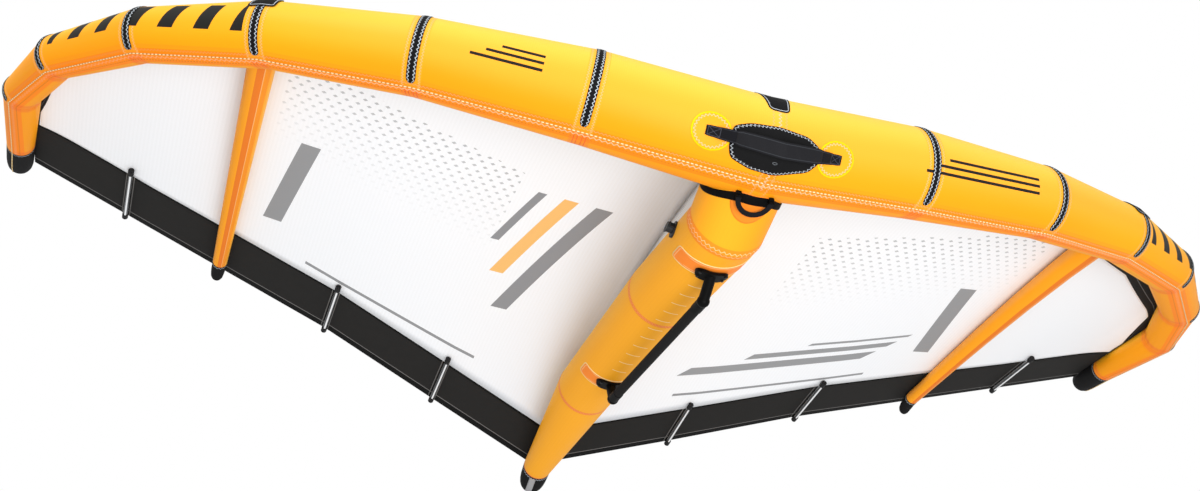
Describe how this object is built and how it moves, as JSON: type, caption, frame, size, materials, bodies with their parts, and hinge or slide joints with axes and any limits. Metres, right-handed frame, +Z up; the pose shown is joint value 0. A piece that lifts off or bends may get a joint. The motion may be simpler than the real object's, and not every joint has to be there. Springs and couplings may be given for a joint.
{
  "type": "inflatable hand wing",
  "caption": "Inflatable hand-held wing for foil boarding with a yellow air tube, white canopy, centre strut with straight boom, and slim side struts",
  "frame": {"origin": "middle of the boom grip, on the boom's axis", "axes": "+X along the span to the right, +Y aft from the leading edge to the trailing edge, +Z up in the flying attitude"},
  "size_m": [4.3522, 2.586, 0.7527],
  "materials": {
    "yellow_cloth": "matte woven polyester",
    "orange_cloth": "matte woven polyester",
    "flame_cloth": "matte woven polyester",
    "white_ripstop": "satin coated ripstop",
    "black_cloth": "matte coated cloth",
    "grey_mesh": "matte perforated cloth",
    "bladder_film": "smooth film",
    "grip_foam": "matte closed-cell foam",
    "batten_rod": "glossy glass-fibre rod",
    "boom_alloy": "black anodised",
    "steel": "satin",
    "hose_rubber": "smooth",
    "black_plastic": "fine moulded texture"
  },
  "bodies": {
    "wing": {"le_panel_left_1": "yellow_cloth", "le_panel_left_2": "yellow_cloth", "le_panel_left_3": "yellow_cloth", "le_panel_left_4": "yellow_cloth", "le_panel_left_5": "yellow_cloth", "le_panel_left_6": "yellow_cloth", "le_panel_left_7": "yellow_cloth", "le_panel_right_1": "yellow_cloth", "le_panel_right_2": "yellow_cloth", "le_panel_right_3": "yellow_cloth", "le_panel_right_4": "yellow_cloth", "le_panel_right_5": "yellow_cloth", "le_panel_right_6": "yellow_cloth", "le_panel_right_7": "yellow_cloth", "le_tip_cap_left": "black_cloth", "le_tip_cap_right": "black_cloth", "le_seam_tapes": "black_cloth", "le_bladder": "bladder_film", "le_scuff_pads": "black_cloth", "handle_pad": "grip_foam", "handle_strap": "black_cloth", "handle_patches": "yellow_cloth", "canopy_left": "white_ripstop", "canopy_right": "white_ripstop", "te_band_left": "black_cloth", "te_band_right": "black_cloth", "tip_panel_left": "black_cloth", "tip_panel_right": "black_cloth", "battens_left": "batten_rod", "battens_right": "batten_rod", "batten_end_caps": "black_plastic", "strut_nose": "orange_cloth", "strut_front": "orange_cloth", "strut_middle": "orange_cloth", "strut_tail": "orange_cloth", "strut_bladder": "bladder_film", "strut_tail_cap": "black_cloth", "strut_web": "grey_mesh", "strut_nose_trim": "black_cloth", "strut_patches": "flame_cloth", "side_strut_left": "orange_cloth", "side_strut_right": "orange_cloth", "side_strut_cap_left": "black_cloth", "side_strut_cap_right": "black_cloth", "side_strut_bladders": "bladder_film", "air_hoses": "hose_rubber", "boom_tube": "boom_alloy", "boom_grip": "grip_foam", "boom_front_leg": "black_plastic", "boom_rear_leg": "black_plastic", "boom_front_plate": "black_plastic", "boom_rear_plate": "black_plastic", "boom_screws": "steel", "valve_body": "black_plastic", "valve_spring": "steel"},
    "cap": {"valve_cap": "black_plastic"},
    "poppet": {"valve_poppet": "black_plastic"},
    "loop": {"leash_loop": "black_cloth"}
  },
  "joints": [
    {"name": "valve_cap_hinge", "type": "hinge", "parent": "wing", "child": "cap", "pos_m": [-0.136, -0.49605, 0.17686], "axis": [0.2067, 0.0046, 0.9784], "range_deg": [0, 150]},
    {"name": "valve_pin_slide", "type": "slide", "parent": "wing", "child": "poppet", "axis": [0.9781, 0.0219, -0.2068], "range_m": [0, 0.004], "stiffness_N_per_m": 300, "deforming": ["valve_spring"]},
    {"name": "leash_loop_swing", "type": "hinge", "parent": "wing", "child": "loop", "pos_m": [0, -0.83621, 0.09192], "axis": [-1, 0, 0], "range_deg": [-3, 84]}
  ]
}
